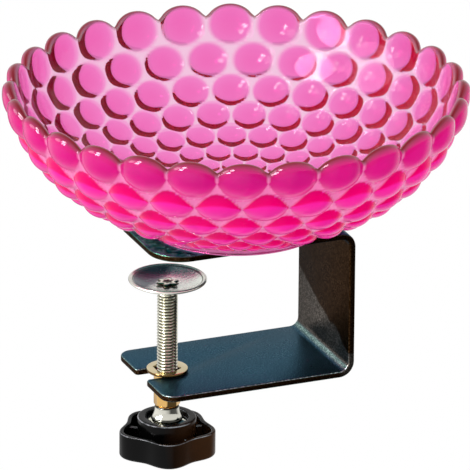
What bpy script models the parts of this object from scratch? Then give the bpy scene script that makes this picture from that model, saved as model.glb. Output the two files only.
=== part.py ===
# Clamp-on feeding bowl: a hobnail bowl bolted to the short upper jaw of a C-shaped strip clamp,
# with a thumbscrew that rides in the open fork of the lower arm.
# Metres, +Z up. The origin is the middle of the upper jaw's flat underside, below the bowl's axis.
# The clamp's mouth opens towards -X, and the strip's width lies along Y.
import math

import bmesh
import bpy
import numpy as np
from mathutils import Matrix, Vector

mm = 0.001

# Gaps between neighbours
seat_gap = 0.3 * mm  # between pieces that lie on each other
bore_gap = 0.3 * mm  # around a pin, a screw or a head in its hole

# Clamp strip
strip_width = 50 * mm
strip_thickness = 2.5 * mm
bend_radius = 3.5 * mm  # inside the bend
bend_steps = 8
throat = 54 * mm  # upper jaw's underside down to the arm's top face
back_reach = 36.8 * mm  # bowl axis to the back strip's inner face
jaw_reach = 40.6 * mm  # bowl axis to the jaw's mouth edge
arm_setback = 2.2 * mm  # how much shorter the arm is at the mouth
jaw_corner_radius = 13 * mm
finger_corner_radius = 5.5 * mm
slot_corner_radius = 1.6 * mm
strip_edge_round = 0.35 * mm

# Clamping screw, nut and pad
screw_setback = 10.8 * mm  # arm's mouth edge to the screw's axis
thread_diameter = 8 * mm
thread_pitch = 1.25 * mm
neck_diameter = 5 * mm
neck_length = 2 * mm  # bare neck under the pad
tip_diameter = 7.2 * mm
tip_height = 0.8 * mm
tip_petals = 6
tip_petal_depth = 0.14  # share of the tip's radius
head_across_flats = 13 * mm
head_height = 5.3 * mm
nut_across_flats = 9.5 * mm  # eight-sided body
nut_body_length = 13.9 * mm  # below the flange
nut_flange_diameter = 16 * mm
nut_flange_thickness = 1.2 * mm
nut_recess_across_flats = 8.8 * mm
nut_recess_depth = 3 * mm
slot_play = 0.1 * mm  # on top of the bore gaps
slot_end_relief = 0.6 * mm  # how far the slot's round end lies behind the screw's axis
pad_diameter = 30 * mm
pad_depth = 3.8 * mm  # rim down to the underside at the neck
pad_thickness = 1.2 * mm
pad_boss_diameter = 10 * mm
pad_lip_share = 0.6  # width of the flat rim, share of the thickness
pad_below_jaw = 15.6 * mm  # screw wound fully up

# Collar and knob
collar_height = 5.6 * mm
collar_top_diameter = 9.4 * mm
collar_bottom_diameter = 12.2 * mm
knob_lobes = 5
knob_diameter = 38 * mm
knob_waist_depth = 3 * mm
knob_skirt_height = 10.2 * mm
knob_wall = 1.7 * mm
knob_floor = 2 * mm
knob_edge_round = 1.3 * mm
hub_diameter = 22.6 * mm
hub_rise = 4.4 * mm  # hub's top above the skirt's rim
hub_recess_diameter = 16.6 * mm
hub_recess_depth = 1.2 * mm
rib_thickness = 1.5 * mm
rib_drop = 1.5 * mm  # rib's top below the skirt's rim
first_lobe_angle = math.radians(-108)

# Bowl
bowl_radius = 86.3 * mm  # middle of the wall at the widest part of the curve
bowl_flat_radius = 13.5 * mm
bowl_curve_height = 64 * mm  # the wall's curve is a quarter ellipse outside the flat
bowl_height = 57.4 * mm  # jaw's top face to the tips of the rim
bowl_wall = 2.8 * mm  # at the grooves between bubbles
bowl_floor_height = 2.1 * mm  # underside of the floor above the jaw's top face
bubbles_around = 28
first_bubble_angle = math.radians(4.9)
bubble_columns = 4  # mesh columns for each bubble
bubble_rings = 3  # mesh rings for each row of bubbles
bubble_height = 0.19  # share of the pitch of its row
bubble_reach = 0.58  # where a bubble's dome meets the wall, share of the pitch
row_spacing = 0.74  # share of the pitch
rim_bubble_rise = 8.3 * mm  # centre of the rim row up to the rim's tips
rim_bubble_half_width = 1.05  # share of half the pitch
rim_round = 1.1 * mm
foot_radius = 35 * mm
foot_thickness = 3 * mm
foot_flare = 0.8 * mm

# Fixing of the bowl
bolt_diameter = 5 * mm
bolt_head_diameter = 9.2 * mm
bolt_head_edge = 0.3 * mm
gasket_diameter = 40 * mm
seal_diameter = 14 * mm
seal_thickness = 1.5 * mm
washer_diameter = 15 * mm
washer_thickness = 1 * mm
disc_edge_share = 0.15  # chamfer of a disc, share of its thickness
cap_nut_across_flats = 8 * mm
cap_nut_hex_height = 4 * mm
cap_nut_dome_height = 3 * mm
cap_nut_roof = 1.6 * mm
cap_nut_dome_share = 0.94  # dome's foot, share of the width across flats
cap_nut_crown_share = 0.1  # flat crown, share of the dome's foot

# Places that follow
jaw_top = strip_thickness
arm_top = -throat
arm_mouth = -(jaw_reach - arm_setback)
screw_x = arm_mouth + screw_setback
slot_width = nut_across_flats + 2 * bore_gap + slot_play
pad_rim = -pad_below_jaw
pad_underside = pad_rim - pad_depth
thread_top = pad_underside - seat_gap - neck_length
nut_flange_bottom = arm_top + seat_gap
nut_flange_top = nut_flange_bottom + nut_flange_thickness
nut_bottom = nut_flange_bottom - nut_body_length
collar_top = nut_bottom - seat_gap
collar_bottom = collar_top - collar_height
head_top = collar_bottom - seat_gap
head_bottom = head_top - head_height
hub_top = head_top + hub_recess_depth
knob_rim = hub_top - hub_rise
knob_bottom = knob_rim - knob_skirt_height
foot_bottom = jaw_top + seat_gap
floor_underside = jaw_top + bowl_floor_height
floor_top = floor_underside + bowl_wall
seal_bottom = floor_top + seat_gap
washer_bottom = seal_bottom + seal_thickness + seat_gap
cap_nut_bottom = washer_bottom + washer_thickness + seat_gap
cap_nut_top = cap_nut_bottom + cap_nut_hex_height + cap_nut_dome_height
bolt_hole_radius = bolt_diameter / 2 + bore_gap


def clear_scene():
    for thing in list(bpy.data.objects):
        bpy.data.objects.remove(thing, do_unlink=True)


def make_material(name, colour, roughness, metallic=0.0, transmission=0.0):
    finish = bpy.data.materials.new(name)
    finish.use_nodes = True
    shader = finish.node_tree.nodes["Principled BSDF"]
    shader.inputs["Base Color"].default_value = (*colour, 1)
    shader.inputs["Roughness"].default_value = roughness
    shader.inputs["Metallic"].default_value = metallic
    shader.inputs["Transmission Weight"].default_value = transmission
    finish.diffuse_color = (*colour, 1)
    return finish


def make_object(name, shape, finish=None, parent=None, place=(0, 0, 0), smooth=35):
    bmesh.ops.recalc_face_normals(shape, faces=shape.faces)
    mesh = bpy.data.meshes.new(name)
    shape.to_mesh(mesh)
    shape.free()
    thing = bpy.data.objects.new(name, mesh)
    bpy.context.scene.collection.objects.link(thing)
    thing.location = place
    if parent:
        thing.parent = parent
        thing.location = Vector(place) - parent.matrix_world.translation
    if finish:
        mesh.materials.append(finish)
        mesh.shade_smooth()
        mesh.set_sharp_from_angle(angle=math.radians(smooth))
    return thing


def make_pivot(name, place, parent=None):
    pivot = bpy.data.objects.new(name, None)
    bpy.context.scene.collection.objects.link(pivot)
    pivot.location = place
    if parent:
        pivot.parent = parent
        pivot.location = Vector(place) - parent.matrix_world.translation
    bpy.context.view_layer.update()
    return pivot


# A helper solid is hidden from renders and shown as wire
def make_helper(name, shape, parent=None, place=(0, 0, 0)):
    helper = make_object(name, shape, parent=parent, place=place)
    helper.hide_render = True
    helper.display_type = "WIRE"
    return helper


def combine(thing, helper, operation):
    modifier = thing.modifiers.new(helper.name, "BOOLEAN")
    modifier.operation = operation
    modifier.solver = "EXACT"
    modifier.object = helper


# One closed level of points: the radius is a number or a function of the angle
def level(z, radius, sides):
    points = []
    for i in range(sides):
        angle = math.tau * i / sides
        reach = radius(angle) if callable(radius) else radius
        points.append(Vector((reach * math.cos(angle), reach * math.sin(angle), z)))
    return points


# Joins levels of equal count by quads. A closed loft is a ring, an open one gets flat ends.
def loft(levels, closed=False):
    shape = bmesh.new()
    rows = [[shape.verts.new(point) for point in points] for points in levels]
    pairs = list(zip(rows, rows[1:]))
    if closed:
        pairs.append((rows[-1], rows[0]))
    else:
        shape.faces.new(rows[0])
        shape.faces.new(list(reversed(rows[-1])))
    for lower, upper in pairs:
        for i in range(len(lower)):
            j = (i + 1) % len(lower)
            shape.faces.new((lower[i], upper[i], upper[j], lower[j]))
    return shape


def turned(profile, sides, closed=False):
    return loft([level(z, radius, sides) for radius, z in profile], closed)


# Radius of a regular polygon with this width across its flats, at each angle
def polygon(across_flats, corners):
    step = math.tau / corners

    def radius(angle):
        return across_flats / 2 / math.cos((angle + step / 2) % step - step / 2)

    return radius


def arc_points(centre, radius, start, end, steps):
    points = []
    for i in range(steps + 1):
        angle = math.radians(start + (end - start) * i / steps)
        points.append((centre[0] + radius * math.cos(angle), centre[1] + radius * math.sin(angle)))
    return points


# The clamp is cut flat and then bent. Along the strip, u runs from the jaw's mouth edge over
# the back to the arm's mouth edge, measured on the middle of the sheet.
bend_length = math.pi / 2 * (bend_radius + strip_thickness / 2)
jaw_flat = jaw_reach + back_reach - bend_radius
back_flat = throat - 2 * bend_radius
arm_flat = back_reach - bend_radius - arm_mouth
bend_starts = (jaw_flat, jaw_flat + bend_length + back_flat)
strip_length = jaw_flat + back_flat + arm_flat + 2 * bend_length


def bent_place(u, side, height):
    # height 0 is the clamp's inner face and strip_thickness its outer face
    second_end = bend_starts[1] + bend_length
    if u <= bend_starts[0]:
        return Vector((u - jaw_reach, side, height))
    if u >= second_end:
        return Vector((back_reach - bend_radius - (u - second_end), side, arm_top - height))
    reach = bend_radius + height
    corner_x = back_reach - bend_radius
    if u < bend_starts[0] + bend_length:
        turn = (u - bend_starts[0]) / bend_length * math.pi / 2
        return Vector((corner_x + reach * math.sin(turn), side, reach * math.cos(turn) - bend_radius))
    if u <= bend_starts[1]:
        along = u - bend_starts[0] - bend_length
        return Vector((back_reach + height, side, -bend_radius - along))
    turn = (u - bend_starts[1]) / bend_length * math.pi / 2
    drop = arm_top + bend_radius - reach * math.sin(turn)
    return Vector((corner_x + reach * math.cos(turn), side, drop))


def blank_outline():
    half = strip_width / 2
    slot = slot_width / 2
    slot_end = strip_length - screw_setback - slot_end_relief
    jaw, finger, lip = jaw_corner_radius, finger_corner_radius, slot_corner_radius
    end = strip_length
    outline = arc_points((jaw, -half + jaw), jaw, 180, 270, 8)
    outline += arc_points((end - finger, -half + finger), finger, 270, 360, 5)
    outline += arc_points((end - lip, -slot - lip), lip, 0, 90, 3)
    outline += arc_points((slot_end, 0), slot, 270, 90, 12)
    outline += arc_points((end - lip, slot + lip), lip, 270, 360, 3)
    outline += arc_points((end - finger, half - finger), finger, 0, 90, 5)
    outline += arc_points((jaw, half - jaw), jaw, 90, 180, 8)
    return outline


def build_bracket(finish):
    shape = bmesh.new()
    shape.faces.new([shape.verts.new((u, side, 0)) for u, side in blank_outline()])
    for start in bend_starts:
        for i in range(bend_steps + 1):
            cut = Vector((start + bend_length * i / bend_steps, 0, 0))
            bmesh.ops.bisect_plane(
                shape, geom=[*shape.verts, *shape.edges, *shape.faces], plane_co=cut, plane_no=(1, 0, 0)
            )
    raised = bmesh.ops.extrude_face_region(shape, geom=list(shape.faces), use_keep_orig=True)
    for vert in raised["geom"]:
        if isinstance(vert, bmesh.types.BMVert):
            vert.co.z = strip_thickness
    for vert in shape.verts:
        vert.co = bent_place(*vert.co)
    bracket = make_object("clamp_bracket", shape, finish)
    rounding = bracket.modifiers.new("edge_round", "BEVEL")
    rounding.width = strip_edge_round
    rounding.segments = 1
    rounding.limit_method = "ANGLE"
    rounding.angle_limit = math.radians(50)

    cone = bolt_head_diameter / 2 - bolt_diameter / 2
    wide = bolt_head_diameter / 2 + bore_gap
    rim = bolt_head_edge + bore_gap
    sink = turned(
        [
            (wide, -strip_thickness),
            (wide, rim),
            (bolt_hole_radius, rim + cone),
            (bolt_hole_radius, 2 * strip_thickness),
        ],
        32,
    )
    combine(bracket, make_helper("bolt_hole_cutter", sink), "DIFFERENCE")
    return bracket


# Middle of the bowl's wall in section: a flat floor, then a quarter ellipse.
# Distances are measured along it from the bowl's axis.
wall_bottom = floor_underside + bowl_wall / 2
curve_angles = np.linspace(0, math.pi / 2, 400)
curve_r = bowl_flat_radius + (bowl_radius - bowl_flat_radius) * np.sin(curve_angles)
curve_z = wall_bottom + bowl_curve_height * (1 - np.cos(curve_angles))
curve_s = bowl_flat_radius + np.concatenate(
    [[0], np.cumsum(np.hypot(np.diff(curve_r), np.diff(curve_z)))]
)


def wall_place(distance, offset):
    # offset is outwards from the middle of the wall, square to it
    angle = float(np.interp(distance, curve_s, curve_angles))
    radius = float(np.interp(distance, curve_s, curve_r))
    height = float(np.interp(distance, curve_s, curve_z))
    run = (bowl_radius - bowl_flat_radius) * math.cos(angle)
    climb = bowl_curve_height * math.sin(angle)
    length = math.hypot(run, climb)
    return radius + offset * climb / length, height - offset * run / length


def pitch_at(distance):
    return math.tau / bubbles_around * float(np.interp(distance, curve_s, curve_r))


rim_distance = float(np.interp(jaw_top + bowl_height, curve_z, curve_s))


# Rows of bubbles from the rim down to the foot: (distance, pitch, first bubble's angle)
def bubble_rows():
    rows = []
    distance = rim_distance - rim_bubble_rise
    lowest = float(np.interp(foot_radius, curve_r, curve_s))
    while distance - row_spacing * pitch_at(distance) / 2 > lowest:
        shift = math.pi / bubbles_around * (len(rows) % 2)
        rows.append((distance, pitch_at(distance), shift))
        below = distance - row_spacing * pitch_at(distance)
        distance -= row_spacing * (pitch_at(distance) + pitch_at(below)) / 2
    return rows


# How far a bubble stands out at this place: the highest of the domes that reach it
def bubble_swell(distance, angle, rows):
    swell = 0.0
    step = math.tau / bubbles_around
    for row_distance, pitch, shift in rows:
        reach = bubble_reach * pitch
        up = (distance - row_distance) / reach
        if abs(up) >= 1:
            continue
        sideways = ((angle - shift + step / 2) % step - step / 2) / step * pitch / reach
        swell = max(swell, bubble_height * pitch * (1 - up * up - sideways * sideways))
    return swell


def rim_edge(angle):
    step = math.tau / bubbles_around
    sideways = abs((angle + step / 2) % step / step - 0.5)
    share = sideways / (rim_bubble_half_width / 2)
    return rim_distance - rim_bubble_rise * (1 - math.sqrt(1 - share * share))


def bowl_levels():
    rows = bubble_rows()
    columns = bubbles_around * bubble_columns
    angles = [math.tau * i / columns for i in range(columns)]
    half = bowl_wall / 2

    def ring(place):
        points = []
        for angle in angles:
            radius, height = place(angle)
            turn = angle + first_bubble_angle
            points.append(Vector((radius * math.cos(turn), radius * math.sin(turn), height)))
        return points

    def outside(angle, distance, inset=0.0):
        return wall_place(distance, half + bubble_swell(distance, angle, rows) - inset)

    # Underside and foot ring, from the middle outwards
    foot_inner = foot_radius - foot_thickness
    levels = [
        ring(lambda angle: (foot_inner - foot_flare, floor_underside)),
        ring(lambda angle: (foot_inner, foot_bottom)),
        ring(lambda angle: (foot_radius, foot_bottom)),
    ]
    # Rows of bubbles, each from half a row below its centre
    centres = [row[0] for row in rows]
    first_groove = centres[-1] - row_spacing * rows[-1][1] / 2
    marks = [first_groove] + list(reversed(centres))
    levels.append(ring(lambda angle: outside(angle, first_groove)))
    for low, high in zip(marks[1:], marks[2:]):
        for i in range(bubble_rings):
            distance = low + (high - low) * i / bubble_rings
            levels.append(ring(lambda angle, d=distance: outside(angle, d)))
    # The rim row ends on the scalloped edge
    top = centres[0]
    for share in (0, 0.5, 0.9):
        levels.append(ring(lambda angle, f=share: outside(angle, top + (rim_edge(angle) - top) * f)))
    levels.append(ring(lambda angle: outside(angle, rim_edge(angle), rim_round)))
    levels.append(ring(lambda angle: wall_place(rim_edge(angle), -half + rim_round / 2)))
    for share in (0.9, 0):
        levels.append(ring(lambda angle, f=share: wall_place(top + (rim_edge(angle) - top) * f, -half)))
    # Smooth inside down to the flat floor
    inner_steps = 5
    for i in range(1, inner_steps + 1):
        distance = top + (bowl_flat_radius - top) * i / inner_steps
        levels.append(ring(lambda angle, d=distance: wall_place(d, -half)))
    return levels


def build_bowl(finish):
    shape = loft(bowl_levels())
    walls = [face for face in shape.faces if len(face.verts) == 4]
    bmesh.ops.triangulate(shape, faces=walls, quad_method="SHORT_EDGE")
    bowl = make_object("bowl", shape, finish, smooth=60)
    hole = turned([(bolt_hole_radius, jaw_top), (bolt_hole_radius, floor_top + bowl_wall)], 32)
    combine(bowl, make_helper("bowl_hole_cutter", hole), "DIFFERENCE")
    return bowl


def build_disc(name, outer, bottom, top, finish, sides=32):
    edge = disc_edge_share * (top - bottom)
    inner = bolt_hole_radius
    profile = [(inner, bottom), (inner, top), (outer - edge, top), (outer, top - edge)]
    profile += [(outer, bottom + edge), (outer - edge, bottom)]
    return make_object(name, turned(profile, sides, closed=True), finish)


def build_bolt(finish):
    head = bolt_head_diameter / 2
    shank = bolt_diameter / 2
    tip = cap_nut_top - cap_nut_roof - seat_gap
    profile = [
        (head, 0),
        (head, bolt_head_edge),
        (shank, bolt_head_edge + head - shank),
        (shank, tip - shank / 3),
        (shank * 2 / 3, tip),
    ]
    return make_object("bowl_screw", turned(profile, 24), finish)


def build_cap_nut(finish):
    sides = 24
    hexagon = polygon(cap_nut_across_flats, 6)
    shoulder = cap_nut_bottom + cap_nut_hex_height
    dome = cap_nut_across_flats / 2 * cap_nut_dome_share
    bore = bolt_hole_radius
    roof = cap_nut_top - cap_nut_roof
    levels = [level(roof, bore, sides), level(cap_nut_bottom, bore, sides)]
    levels += [level(cap_nut_bottom, hexagon, sides), level(shoulder, hexagon, sides)]
    for i in range(5):
        climb = math.pi / 2 * i / 5
        levels.append(level(shoulder + cap_nut_dome_height * math.sin(climb), dome * math.cos(climb), sides))
    levels.append(level(cap_nut_top, dome * cap_nut_crown_share, sides))
    return make_object("bowl_cap_nut", loft(levels), finish)


def build_nut(finish, pivot):
    sides = 48
    octagon = polygon(nut_across_flats, 8)
    recess = polygon(nut_recess_across_flats, 6)
    flange = nut_flange_diameter / 2
    bore = thread_diameter / 2 + bore_gap
    edge = nut_flange_thickness / 4
    recess_floor = nut_flange_top - nut_recess_depth
    levels = [
        level(nut_bottom, octagon, sides),
        level(nut_flange_bottom, octagon, sides),
        level(nut_flange_bottom, flange - edge, sides),
        level(nut_flange_bottom + edge, flange, sides),
        level(nut_flange_top - edge, flange, sides),
        level(nut_flange_top, flange - edge, sides),
        level(nut_flange_top, recess, sides),
        level(recess_floor, recess, sides),
        level(recess_floor, bore, sides),
        level(nut_bottom, bore, sides),
    ]
    shape = loft(levels, closed=True)
    place = (screw_x, 0, nut_flange_bottom)
    bmesh.ops.translate(shape, verts=shape.verts, vec=(0, 0, -place[2]))
    return make_object("insert_nut", shape, finish, pivot, place)


def build_pad(finish, pivot):
    boss = pad_boss_diameter / 2
    edge = pad_diameter / 2
    lip = pad_thickness * pad_lip_share
    inner_edge = edge - lip * 1.4
    hole = neck_diameter / 2 + bore_gap
    steps = 4

    # The dish climbs from the boss to the rim on a parabola
    def rise(share):
        return (pad_depth - pad_thickness) * share * share

    floor = -pad_depth
    under = [(hole, floor), (boss, floor)]
    over = [(hole, floor + pad_thickness)]
    for i in range(steps):
        share = i / steps
        radius = boss + (inner_edge - boss) * share
        over.append((radius, floor + pad_thickness + rise(share)))
        if i:
            under.append((radius + lip * share, floor + rise(share)))
    profile = under + [(edge, -lip), (edge - lip / 4, 0), (edge - lip, 0)] + over[::-1]
    shape = turned(profile, 40, closed=True)
    return make_object("pressure_pad", shape, finish, pivot, (screw_x, 0, pad_rim))


def build_screw(finish, pivot):
    sides = 24
    rod = thread_diameter / 2
    neck = neck_diameter / 2
    chamfer = thread_pitch / 2
    boss_top = pad_underside + pad_thickness
    tip_bottom = boss_top + seat_gap
    hexagon = polygon(head_across_flats, 6)

    # The peened tip spreads into petals
    def star(angle):
        return tip_diameter / 2 * (1 - tip_petal_depth + tip_petal_depth * math.cos(tip_petals * angle))

    levels = [
        level(head_bottom, hexagon, sides),
        level(head_top, hexagon, sides),
        level(head_top, rod, sides),
        level(thread_top - chamfer, rod, sides),
        level(thread_top, rod - chamfer, sides),
        level(thread_top, neck, sides),
        level(tip_bottom, neck, sides),
        level(tip_bottom, star, sides),
        level(tip_bottom + tip_height / 2, star, sides),
        level(tip_bottom + tip_height, neck * 0.6, sides),
    ]
    shape = loft(levels)
    place = (screw_x, 0, head_bottom)
    bmesh.ops.translate(shape, verts=shape.verts, vec=(0, 0, -head_bottom))
    return make_object("clamp_screw", shape, finish, pivot, place)


def build_collar(finish, pivot):
    top = collar_top_diameter / 2
    bottom = collar_bottom_diameter / 2
    bore = thread_diameter / 2 + bore_gap
    steps = 5
    profile = [(bore, 0), (bottom, 0)]
    for i in range(1, steps + 1):
        share = i / steps
        profile.append((top + (bottom - top) * (1 - share) ** 2, collar_height * share))
    profile.append((bore, collar_height))
    shape = turned(profile, 28, closed=True)
    return make_object("cone_collar", shape, finish, pivot, (screw_x, 0, collar_bottom))


def build_knob(finish, pivot):
    sides = 60
    skirt = knob_skirt_height
    outer = knob_diameter / 2
    place = (screw_x, 0, knob_bottom)

    # Outline with a soft wave of lobes, moved inwards by the inset
    def lobed(inset):
        def radius(angle):
            wave = math.cos(knob_lobes * (angle - first_lobe_angle))
            return outer - inset - knob_waist_depth / 2 * (1 - wave)

        return radius

    levels = []
    for i in range(4):
        turn = math.pi / 2 * i / 3
        inset = knob_edge_round * (1 - math.sin(turn))
        levels.append(level(knob_edge_round * (1 - math.cos(turn)), lobed(inset), sides))
    lip = knob_wall / 4
    levels.append(level(skirt - lip, lobed(0), sides))
    levels.append(level(skirt, lobed(lip), sides))
    levels.append(level(skirt, lobed(knob_wall - lip), sides))
    levels.append(level(skirt - lip, lobed(knob_wall), sides))
    levels.append(level(knob_floor, lobed(knob_wall + lip), sides))
    knob = make_object("star_knob", loft(levels), finish, pivot, place)

    hub = hub_diameter / 2
    hub_height = hub_top - knob_bottom
    hub_edge = hub_recess_depth / 3
    hub_shape = turned(
        [(hub, knob_floor / 2), (hub, hub_height - hub_edge), (hub - hub_edge, hub_height)], 40
    )
    combine(knob, make_helper("hub_helper", hub_shape, pivot, place), "UNION")

    # Ribs from the hub to the waists between the lobes
    rib_top = skirt - rib_drop
    waist = outer - knob_waist_depth - knob_wall / 2
    rib_start = hub - rib_thickness
    for i in range(knob_lobes):
        shape = bmesh.new()
        bmesh.ops.create_cube(shape, size=1)
        length = waist - rib_start
        height = rib_top - knob_floor / 2
        bmesh.ops.scale(shape, verts=shape.verts, vec=(length, rib_thickness, height))
        middle = (rib_start + length / 2, 0, knob_floor / 2 + height / 2)
        bmesh.ops.translate(shape, verts=shape.verts, vec=middle)
        angle = first_lobe_angle + math.tau * (i + 0.5) / knob_lobes
        bmesh.ops.rotate(shape, verts=shape.verts, matrix=Matrix.Rotation(angle, 3, "Z"))
        combine(knob, make_helper(f"rib_helper_{i + 1}", shape, pivot, place), "UNION")

    # Recess for the collar over a blind hexagon pocket for the screw's head
    pocket = polygon(head_across_flats + 2 * bore_gap, 6)
    recess = hub_recess_diameter / 2
    step = head_top - knob_bottom
    levels = [
        level(step - head_height - seat_gap, pocket, 24),
        level(step, pocket, 24),
        level(step, recess, 24),
        level(hub_height + seat_gap, recess, 24),
    ]
    combine(knob, make_helper("pocket_cutter", loft(levels), pivot, place), "DIFFERENCE")
    return knob


def main():
    clear_scene()
    powder_coat = make_material("black_powder_coat", (0.018, 0.022, 0.026), 0.38)
    pink_glass = make_material("pink_glass", (0.95, 0.08, 0.42), 0.06, transmission=0.9)
    zinc = make_material("zinc_plate", (0.72, 0.72, 0.70), 0.28, metallic=1)
    bright_steel = make_material("bright_steel", (0.80, 0.80, 0.80), 0.16, metallic=1)
    brass = make_material("brass", (0.83, 0.62, 0.28), 0.25, metallic=1)
    black_plastic = make_material("black_plastic", (0.012, 0.011, 0.012), 0.22)
    rubber = make_material("rubber", (0.03, 0.03, 0.03), 0.75)

    build_bracket(powder_coat)
    build_bowl(pink_glass)
    gasket_bottom = jaw_top + seat_gap
    gasket_top = floor_underside - seat_gap
    build_disc("foot_gasket", gasket_diameter / 2, gasket_bottom, gasket_top, rubber, 40)
    build_disc("bowl_seal", seal_diameter / 2, seal_bottom, seal_bottom + seal_thickness, rubber)
    washer_top = washer_bottom + washer_thickness
    build_disc("bowl_washer", washer_diameter / 2, washer_bottom, washer_top, bright_steel)
    build_bolt(zinc)
    build_cap_nut(bright_steel)

    nut_pivot = make_pivot("nut_slide", (screw_x, 0, nut_flange_bottom))
    pad_pivot = make_pivot("pad_lift", (screw_x, 0, pad_rim), nut_pivot)
    screw_pivot = make_pivot("screw_turn", (screw_x, 0, head_bottom), pad_pivot)
    build_nut(brass, nut_pivot)
    build_pad(zinc, pad_pivot)
    build_screw(zinc, screw_pivot)
    build_collar(bright_steel, screw_pivot)
    build_knob(black_plastic, screw_pivot)


main()
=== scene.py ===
import math

import bmesh
import bpy
import numpy as np
from mathutils import Matrix, Vector


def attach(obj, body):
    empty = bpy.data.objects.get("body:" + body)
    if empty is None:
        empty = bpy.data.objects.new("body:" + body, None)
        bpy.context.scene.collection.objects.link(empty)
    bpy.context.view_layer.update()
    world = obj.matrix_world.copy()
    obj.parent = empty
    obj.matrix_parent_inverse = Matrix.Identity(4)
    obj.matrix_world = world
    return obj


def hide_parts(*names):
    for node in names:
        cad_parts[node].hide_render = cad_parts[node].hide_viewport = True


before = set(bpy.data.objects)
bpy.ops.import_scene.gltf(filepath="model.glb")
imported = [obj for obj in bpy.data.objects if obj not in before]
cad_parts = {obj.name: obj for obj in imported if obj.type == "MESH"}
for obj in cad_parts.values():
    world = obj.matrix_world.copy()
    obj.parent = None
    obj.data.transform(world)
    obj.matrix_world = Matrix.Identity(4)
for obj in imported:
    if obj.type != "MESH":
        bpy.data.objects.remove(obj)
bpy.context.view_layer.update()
for leftover in ("Cube", "Light", "Camera"):
    if leftover in bpy.data.objects:
        bpy.data.objects.remove(bpy.data.objects[leftover], do_unlink=True)
mm = 0.001
print("frame loaded")


# Small tools for nodes
class Number:  # a value in a node tree; arithmetic on it adds Math nodes
    def __init__(self, tree, socket):
        self.tree = tree
        self.socket = socket

    def __add__(self, other):
        return calc(self.tree, "ADD", self, other)

    def __sub__(self, other):
        return calc(self.tree, "SUBTRACT", self, other)

    def __rsub__(self, other):
        return calc(self.tree, "SUBTRACT", other, self)

    def __mul__(self, other):
        return calc(self.tree, "MULTIPLY", self, other)

    def __truediv__(self, other):
        return calc(self.tree, "DIVIDE", self, other)

    def __abs__(self):
        return calc(self.tree, "ABSOLUTE", self)

    def spread(self, fromLow, fromHigh, toLow=0.0, toHigh=1.0):
        node = self.tree.nodes.new("ShaderNodeMapRange")
        for socket, number in zip(list(node.inputs)[1:5], (fromLow, fromHigh, toLow, toHigh)):
            socket.default_value = number
        link(self, node.inputs["Value"])
        return Number(self.tree, node.outputs["Result"])


def link(value, socket):
    if isinstance(value, Number):
        value = value.socket
    socket.id_data.links.new(value, socket)


def calc(tree, operation, *values):
    node = tree.nodes.new("ShaderNodeMath")
    node.operation = operation
    for socket, value in zip(node.inputs, values):
        if isinstance(value, (int, float)):
            socket.default_value = value
        else:
            link(value, socket)
    return Number(tree, node.outputs[0])


def newFinish(name, **values):
    finish = bpy.data.materials.new(name)
    finish.use_nodes = True
    shader = finish.node_tree.nodes["Principled BSDF"]
    for label, value in values.items():
        socket = shader.inputs[label.replace("_", " ")]
        socket.default_value = (*value, 1) if isinstance(value, tuple) else value
    return finish, finish.node_tree, shader


def partsOf(tree, vector):
    node = tree.nodes.new("ShaderNodeSeparateXYZ")
    link(vector, node.inputs[0])
    return [Number(tree, output) for output in node.outputs]


def objectPlace(tree):  # x, y and z in metres
    return partsOf(tree, tree.nodes.new("ShaderNodeTexCoord").outputs["Object"])


def facing(tree):
    return partsOf(tree, tree.nodes.new("ShaderNodeNewGeometry").outputs["Normal"])


def noiseOn(tree, scale, detail=2.0):
    noise = tree.nodes.new("ShaderNodeTexNoise")
    noise.inputs["Scale"].default_value = scale
    noise.inputs["Detail"].default_value = detail
    link(tree.nodes.new("ShaderNodeTexCoord").outputs["Object"], noise.inputs["Vector"])
    return Number(tree, noise.outputs["Fac"])


def mixColours(share, first, second):
    node = share.tree.nodes.new("ShaderNodeMix")
    node.data_type = "RGBA"
    link(share, node.inputs["Factor"])
    for label, value in (("A", first), ("B", second)):
        socket = [s for s in node.inputs if s.name == label and s.type == "RGBA"][0]
        if isinstance(value, tuple):
            socket.default_value = (*value, 1)
        else:
            link(value, socket)
    return [s for s in node.outputs if s.type == "RGBA"][0]


def rampOn(share, stops):
    ramp = share.tree.nodes.new("ShaderNodeValToRGB")
    for place, _ in stops[1:-1]:
        ramp.color_ramp.elements.new(place)
    for element, (place, colour) in zip(ramp.color_ramp.elements, stops):
        element.position = place
        element.color = (*colour, 1)
    link(share, ramp.inputs[0])
    return ramp.outputs["Color"]


def bumpFrom(shader, height, strength, distance):
    bump = height.tree.nodes.new("ShaderNodeBump")
    bump.inputs["Strength"].default_value = strength
    bump.inputs["Distance"].default_value = distance
    link(height, bump.inputs["Height"])
    link(bump.outputs["Normal"], shader.inputs["Normal"])


def newTree(name, numbers, counts=()):  # returns the tree, its input node and its number inputs
    tree = bpy.data.node_groups.new(name, "GeometryNodeTree")
    sockets = [("Geometry", "Geometry")] + [(label, "Float") for label in numbers]
    sockets += [(label, "Int") for label in counts] + [("Finish", "Material")]
    for label, kind in sockets:
        tree.interface.new_socket(label, in_out="INPUT", socket_type="NodeSocket" + kind)
    tree.interface.new_socket("Geometry", in_out="OUTPUT", socket_type="NodeSocketGeometry")
    source = tree.nodes.new("NodeGroupInput")
    return tree, source, [Number(tree, source.outputs[label]) for label in numbers]


def endTree(tree, source, geometry):  # every tree ends in Realize Instances and Set Material
    realize = tree.nodes.new("GeometryNodeRealizeInstances")
    paint = tree.nodes.new("GeometryNodeSetMaterial")
    out = tree.nodes.new("NodeGroupOutput")
    link(geometry, realize.inputs[0])
    link(realize.outputs[0], paint.inputs["Geometry"])
    link(source.outputs["Finish"], paint.inputs["Material"])
    link(paint.outputs[0], out.inputs[0])


def newObject(name, data):
    thing = bpy.data.objects.new(name, data)
    bpy.context.scene.collection.objects.link(thing)
    return thing


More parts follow.
